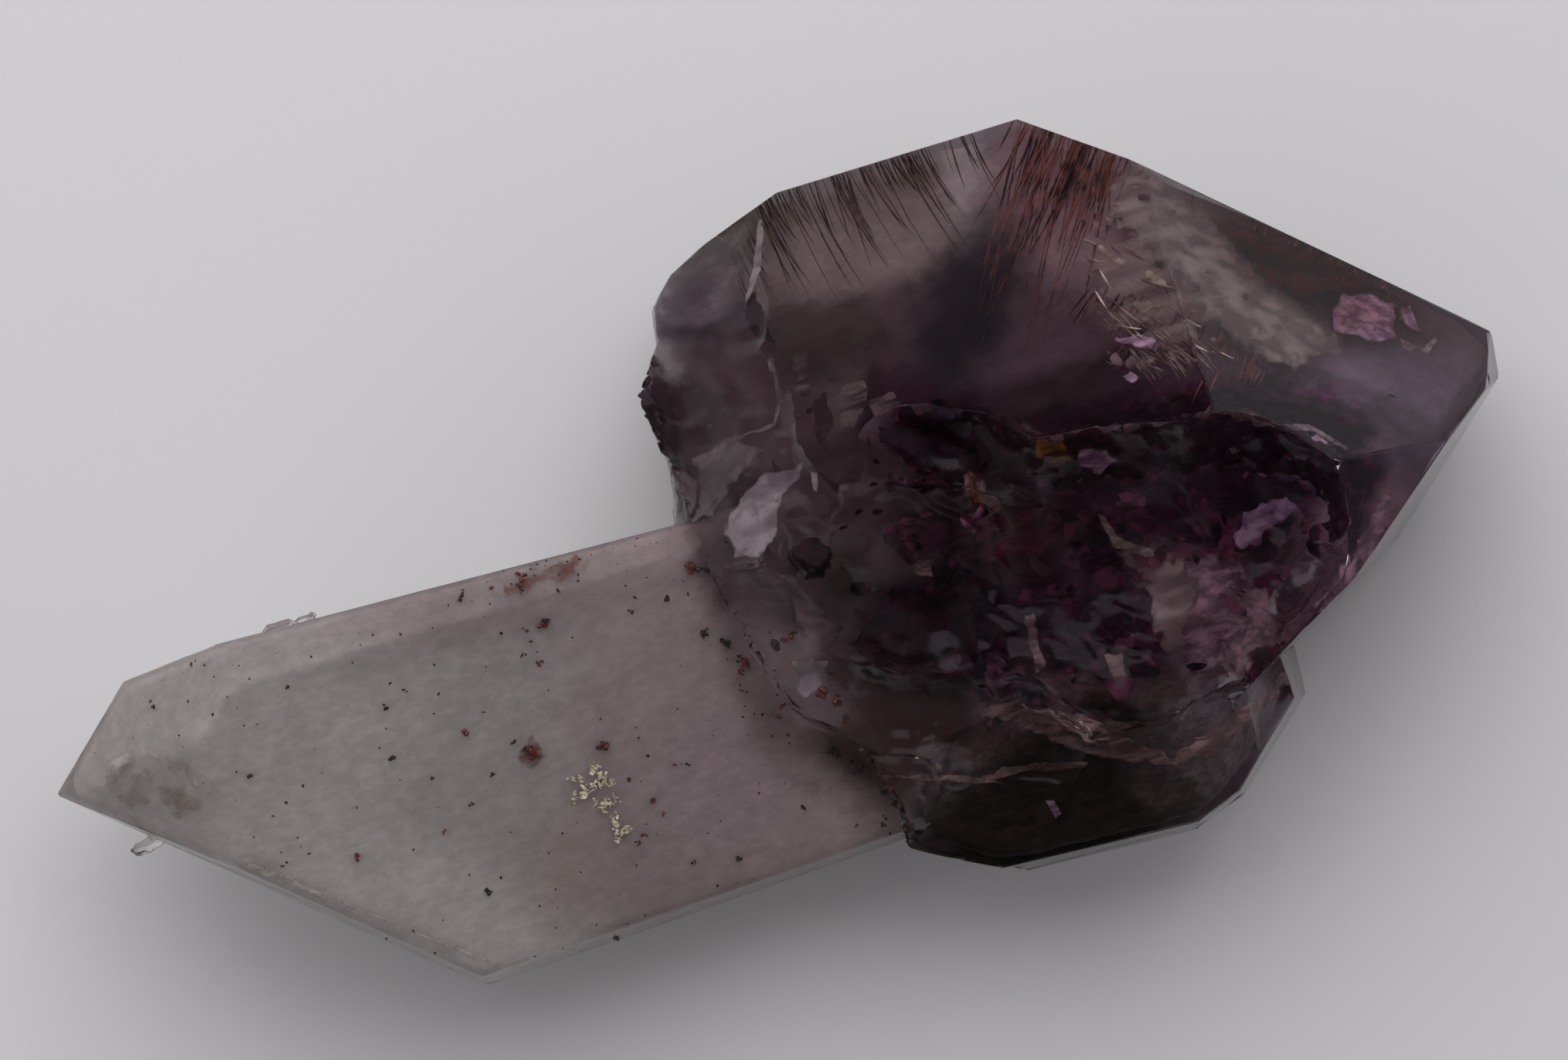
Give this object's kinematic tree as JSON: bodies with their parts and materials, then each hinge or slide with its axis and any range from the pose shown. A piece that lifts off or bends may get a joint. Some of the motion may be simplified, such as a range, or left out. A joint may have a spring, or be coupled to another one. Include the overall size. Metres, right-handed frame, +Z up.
{
  "type": "sceptre amethyst crystal",
  "caption": "Sceptre quartz: a pale pointed stem that carries a larger dark amethyst head with a broken front and a small crystal beside it. It rests on the flat back of its head.",
  "frame": {"origin": "on the surface that the crystal lies on, under the middle of its bounding box", "axes": "+X along the crystals' common c axis from the stem's point to the head's, +Z up"},
  "size_m": [0.0604, 0.0294, 0.0191],
  "materials": {
    "quartz": "clear to milky quartz, grey-lilac in the stem and dark violet in the head"
  },
  "bodies": {
    "root": {"amethyst_sceptre": "quartz"}
  },
  "joints": []
}
